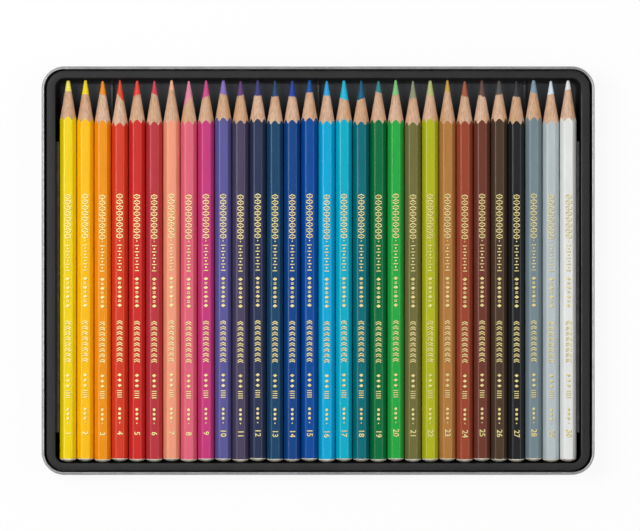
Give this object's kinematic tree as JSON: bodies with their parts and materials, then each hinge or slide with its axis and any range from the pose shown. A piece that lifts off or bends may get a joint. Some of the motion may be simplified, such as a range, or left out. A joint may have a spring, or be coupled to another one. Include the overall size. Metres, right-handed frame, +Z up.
{
  "type": "coloured pencil tin",
  "caption": "Open flat tin with a formed plastic tray that holds a single row of sharpened hexagonal coloured pencils; its lift-off lid lies under the base.",
  "frame": {"origin": "middle of the underside, on the surface that the tin lies on", "axes": "+X to the right along the row of pencils, +Y towards their points, +Z up"},
  "size_m": [0.254, 0.1876, 0.0146],
  "materials": {
    "tinplate": "bright drawn tinplate, folded rim",
    "tray_plastic": "formed black sheet, satin",
    "lacquer_lemon_yellow": "lacquered wood, satin, with a bare sharpened cone and a coloured core",
    "lacquer_golden_yellow": "lacquered wood, satin, with a bare sharpened cone and a coloured core",
    "lacquer_orange": "lacquered wood, satin, with a bare sharpened cone and a coloured core",
    "lacquer_vermilion": "lacquered wood, satin, with a bare sharpened cone and a coloured core",
    "lacquer_scarlet": "lacquered wood, satin, with a bare sharpened cone and a coloured core",
    "lacquer_carmine": "lacquered wood, satin, with a bare sharpened cone and a coloured core",
    "lacquer_salmon": "lacquered wood, satin, with a bare sharpened cone and a coloured core",
    "lacquer_pink": "lacquered wood, satin, with a bare sharpened cone and a coloured core",
    "lacquer_magenta": "lacquered wood, satin, with a bare sharpened cone and a coloured core",
    "lacquer_violet": "lacquered wood, satin, with a bare sharpened cone and a coloured core",
    "lacquer_plum": "lacquered wood, satin, with a bare sharpened cone and a coloured core",
    "lacquer_navy": "lacquered wood, satin, with a bare sharpened cone and a coloured core",
    "lacquer_prussian_blue": "lacquered wood, satin, with a bare sharpened cone and a coloured core",
    "lacquer_ultramarine": "lacquered wood, satin, with a bare sharpened cone and a coloured core",
    "lacquer_blue": "lacquered wood, satin, with a bare sharpened cone and a coloured core",
    "lacquer_azure": "lacquered wood, satin, with a bare sharpened cone and a coloured core",
    "lacquer_turquoise": "lacquered wood, satin, with a bare sharpened cone and a coloured core",
    "lacquer_teal": "lacquered wood, satin, with a bare sharpened cone and a coloured core",
    "lacquer_dark_green": "lacquered wood, satin, with a bare sharpened cone and a coloured core",
    "lacquer_green": "lacquered wood, satin, with a bare sharpened cone and a coloured core",
    "lacquer_olive": "lacquered wood, satin, with a bare sharpened cone and a coloured core",
    "lacquer_lime": "lacquered wood, satin, with a bare sharpened cone and a coloured core",
    "lacquer_ochre": "lacquered wood, satin, with a bare sharpened cone and a coloured core",
    "lacquer_russet": "lacquered wood, satin, with a bare sharpened cone and a coloured core",
    "lacquer_red_brown": "lacquered wood, satin, with a bare sharpened cone and a coloured core",
    "lacquer_umber": "lacquered wood, satin, with a bare sharpened cone and a coloured core",
    "lacquer_black": "lacquered wood, satin, with a bare sharpened cone and a coloured core",
    "lacquer_grey": "lacquered wood, satin, with a bare sharpened cone and a coloured core",
    "lacquer_silver_grey": "lacquered wood, satin, with a bare sharpened cone and a coloured core",
    "lacquer_white": "lacquered wood, satin, with a bare sharpened cone and a coloured core"
  },
  "bodies": {
    "lid": {"lid": "tinplate"},
    "tin_base": {"tin_base": "tinplate"},
    "tray": {"tray": "tray_plastic"},
    "pencil_01_lemon_yellow": {"pencil_01_lemon_yellow": "lacquer_lemon_yellow"},
    "pencil_02_golden_yellow": {"pencil_02_golden_yellow": "lacquer_golden_yellow"},
    "pencil_03_orange": {"pencil_03_orange": "lacquer_orange"},
    "pencil_04_vermilion": {"pencil_04_vermilion": "lacquer_vermilion"},
    "pencil_05_scarlet": {"pencil_05_scarlet": "lacquer_scarlet"},
    "pencil_06_carmine": {"pencil_06_carmine": "lacquer_carmine"},
    "pencil_07_salmon": {"pencil_07_salmon": "lacquer_salmon"},
    "pencil_08_pink": {"pencil_08_pink": "lacquer_pink"},
    "pencil_09_magenta": {"pencil_09_magenta": "lacquer_magenta"},
    "pencil_10_violet": {"pencil_10_violet": "lacquer_violet"},
    "pencil_11_plum": {"pencil_11_plum": "lacquer_plum"},
    "pencil_12_navy": {"pencil_12_navy": "lacquer_navy"},
    "pencil_13_prussian_blue": {"pencil_13_prussian_blue": "lacquer_prussian_blue"},
    "pencil_14_ultramarine": {"pencil_14_ultramarine": "lacquer_ultramarine"},
    "pencil_15_blue": {"pencil_15_blue": "lacquer_blue"},
    "pencil_16_azure": {"pencil_16_azure": "lacquer_azure"},
    "pencil_17_turquoise": {"pencil_17_turquoise": "lacquer_turquoise"},
    "pencil_18_teal": {"pencil_18_teal": "lacquer_teal"},
    "pencil_19_dark_green": {"pencil_19_dark_green": "lacquer_dark_green"},
    "pencil_20_green": {"pencil_20_green": "lacquer_green"},
    "pencil_21_olive": {"pencil_21_olive": "lacquer_olive"},
    "pencil_22_lime": {"pencil_22_lime": "lacquer_lime"},
    "pencil_23_ochre": {"pencil_23_ochre": "lacquer_ochre"},
    "pencil_24_russet": {"pencil_24_russet": "lacquer_russet"},
    "pencil_25_red_brown": {"pencil_25_red_brown": "lacquer_red_brown"},
    "pencil_26_umber": {"pencil_26_umber": "lacquer_umber"},
    "pencil_27_black": {"pencil_27_black": "lacquer_black"},
    "pencil_28_grey": {"pencil_28_grey": "lacquer_grey"},
    "pencil_29_silver_grey": {"pencil_29_silver_grey": "lacquer_silver_grey"},
    "pencil_30_white": {"pencil_30_white": "lacquer_white"}
  },
  "joints": [
    {"name": "base_lift", "type": "slide", "parent": "lid", "child": "tin_base", "axis": [0, 0, 1], "range_m": [0, 0.015]},
    {"name": "tray_lift", "type": "slide", "parent": "tin_base", "child": "tray", "axis": [0, 0, 1], "range_m": [0, 0.015]},
    {"name": "pencil_01_lift", "type": "slide", "parent": "tray", "child": "pencil_01_lemon_yellow", "axis": [0, 0, 1], "range_m": [0, 0.015]},
    {"name": "pencil_02_lift", "type": "slide", "parent": "tray", "child": "pencil_02_golden_yellow", "axis": [0, 0, 1], "range_m": [0, 0.015]},
    {"name": "pencil_03_lift", "type": "slide", "parent": "tray", "child": "pencil_03_orange", "axis": [0, 0, 1], "range_m": [0, 0.015]},
    {"name": "pencil_04_lift", "type": "slide", "parent": "tray", "child": "pencil_04_vermilion", "axis": [0, 0, 1], "range_m": [0, 0.015]},
    {"name": "pencil_05_lift", "type": "slide", "parent": "tray", "child": "pencil_05_scarlet", "axis": [0, 0, 1], "range_m": [0, 0.015]},
    {"name": "pencil_06_lift", "type": "slide", "parent": "tray", "child": "pencil_06_carmine", "axis": [0, 0, 1], "range_m": [0, 0.015]},
    {"name": "pencil_07_lift", "type": "slide", "parent": "tray", "child": "pencil_07_salmon", "axis": [0, 0, 1], "range_m": [0, 0.015]},
    {"name": "pencil_08_lift", "type": "slide", "parent": "tray", "child": "pencil_08_pink", "axis": [0, 0, 1], "range_m": [0, 0.015]},
    {"name": "pencil_09_lift", "type": "slide", "parent": "tray", "child": "pencil_09_magenta", "axis": [0, 0, 1], "range_m": [0, 0.015]},
    {"name": "pencil_10_lift", "type": "slide", "parent": "tray", "child": "pencil_10_violet", "axis": [0, 0, 1], "range_m": [0, 0.015]},
    {"name": "pencil_11_lift", "type": "slide", "parent": "tray", "child": "pencil_11_plum", "axis": [0, 0, 1], "range_m": [0, 0.015]},
    {"name": "pencil_12_lift", "type": "slide", "parent": "tray", "child": "pencil_12_navy", "axis": [0, 0, 1], "range_m": [0, 0.015]},
    {"name": "pencil_13_lift", "type": "slide", "parent": "tray", "child": "pencil_13_prussian_blue", "axis": [0, 0, 1], "range_m": [0, 0.015]},
    {"name": "pencil_14_lift", "type": "slide", "parent": "tray", "child": "pencil_14_ultramarine", "axis": [0, 0, 1], "range_m": [0, 0.015]},
    {"name": "pencil_15_lift", "type": "slide", "parent": "tray", "child": "pencil_15_blue", "axis": [0, 0, 1], "range_m": [0, 0.015]},
    {"name": "pencil_16_lift", "type": "slide", "parent": "tray", "child": "pencil_16_azure", "axis": [0, 0, 1], "range_m": [0, 0.015]},
    {"name": "pencil_17_lift", "type": "slide", "parent": "tray", "child": "pencil_17_turquoise", "axis": [0, 0, 1], "range_m": [0, 0.015]},
    {"name": "pencil_18_lift", "type": "slide", "parent": "tray", "child": "pencil_18_teal", "axis": [0, 0, 1], "range_m": [0, 0.015]},
    {"name": "pencil_19_lift", "type": "slide", "parent": "tray", "child": "pencil_19_dark_green", "axis": [0, 0, 1], "range_m": [0, 0.015]},
    {"name": "pencil_20_lift", "type": "slide", "parent": "tray", "child": "pencil_20_green", "axis": [0, 0, 1], "range_m": [0, 0.015]},
    {"name": "pencil_21_lift", "type": "slide", "parent": "tray", "child": "pencil_21_olive", "axis": [0, 0, 1], "range_m": [0, 0.015]},
    {"name": "pencil_22_lift", "type": "slide", "parent": "tray", "child": "pencil_22_lime", "axis": [0, 0, 1], "range_m": [0, 0.015]},
    {"name": "pencil_23_lift", "type": "slide", "parent": "tray", "child": "pencil_23_ochre", "axis": [0, 0, 1], "range_m": [0, 0.015]},
    {"name": "pencil_24_lift", "type": "slide", "parent": "tray", "child": "pencil_24_russet", "axis": [0, 0, 1], "range_m": [0, 0.015]},
    {"name": "pencil_25_lift", "type": "slide", "parent": "tray", "child": "pencil_25_red_brown", "axis": [0, 0, 1], "range_m": [0, 0.015]},
    {"name": "pencil_26_lift", "type": "slide", "parent": "tray", "child": "pencil_26_umber", "axis": [0, 0, 1], "range_m": [0, 0.015]},
    {"name": "pencil_27_lift", "type": "slide", "parent": "tray", "child": "pencil_27_black", "axis": [0, 0, 1], "range_m": [0, 0.015]},
    {"name": "pencil_28_lift", "type": "slide", "parent": "tray", "child": "pencil_28_grey", "axis": [0, 0, 1], "range_m": [0, 0.015]},
    {"name": "pencil_29_lift", "type": "slide", "parent": "tray", "child": "pencil_29_silver_grey", "axis": [0, 0, 1], "range_m": [0, 0.015]},
    {"name": "pencil_30_lift", "type": "slide", "parent": "tray", "child": "pencil_30_white", "axis": [0, 0, 1], "range_m": [0, 0.015]}
  ]
}
